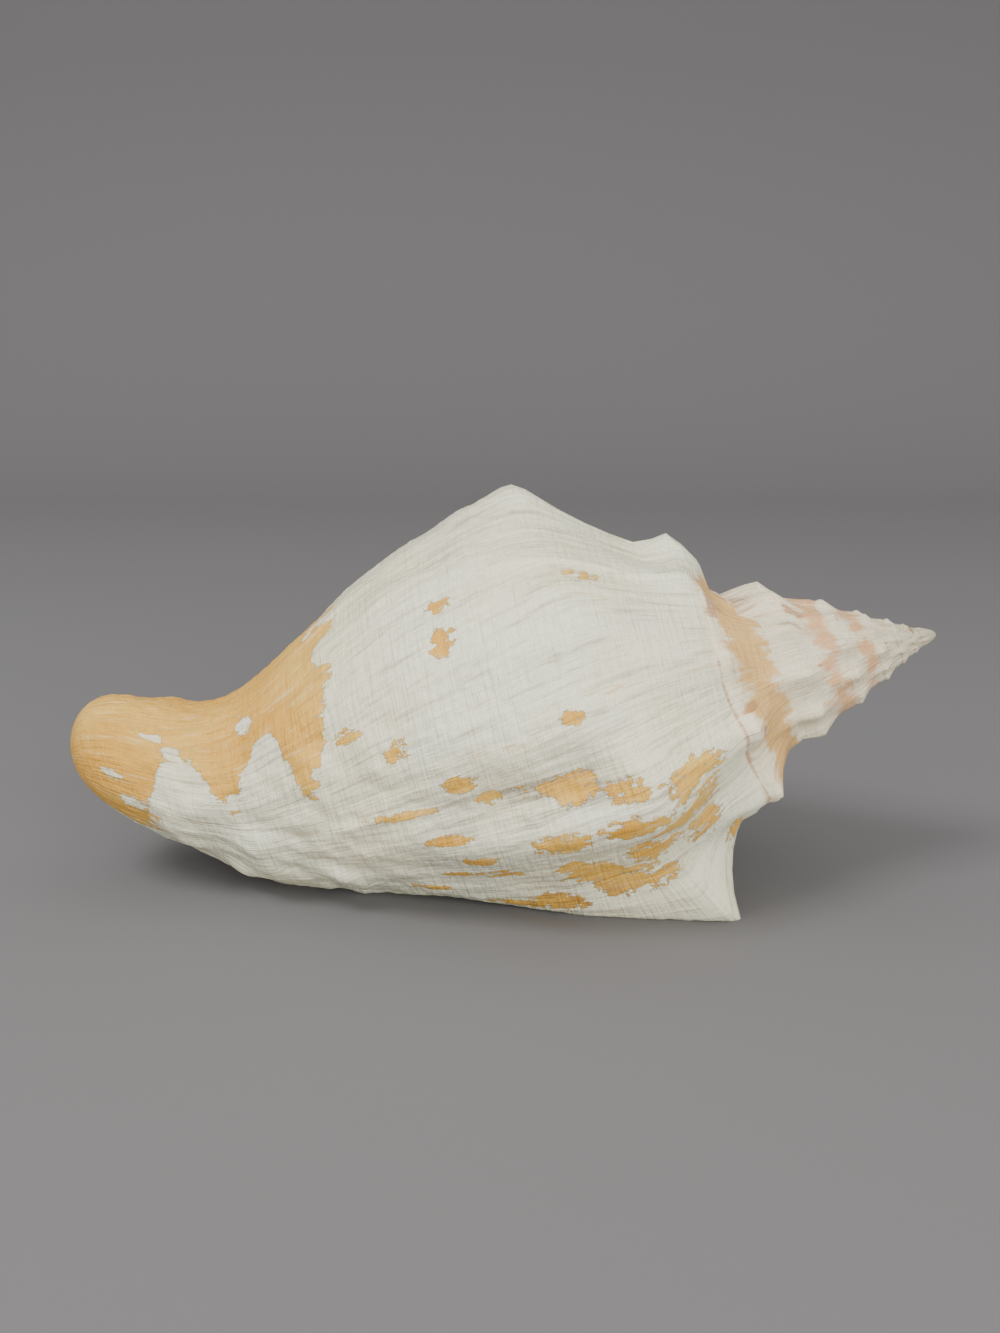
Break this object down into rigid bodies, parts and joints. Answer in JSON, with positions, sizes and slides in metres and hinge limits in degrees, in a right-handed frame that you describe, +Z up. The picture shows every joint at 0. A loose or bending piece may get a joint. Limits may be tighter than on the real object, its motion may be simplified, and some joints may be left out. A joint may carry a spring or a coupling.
{
  "type": "conch shell",
  "caption": "Large heavy conch shell lying on its opening, with a tall knobbed spire, strong shoulder spines and an upturned siphonal end.",
  "frame": {"origin": "centre of the bounding box's bottom, on the surface the shell rests on", "axes": "+X towards the tip of the spire, +Y towards the outer lip, +Z up with the opening facing down"},
  "size_m": [0.2298, 0.1134, 0.1063],
  "materials": {
    "shell": "satin, chalky white with flaking tan outer skin"
  },
  "bodies": {
    "root": {"shell": "shell"}
  },
  "joints": []
}
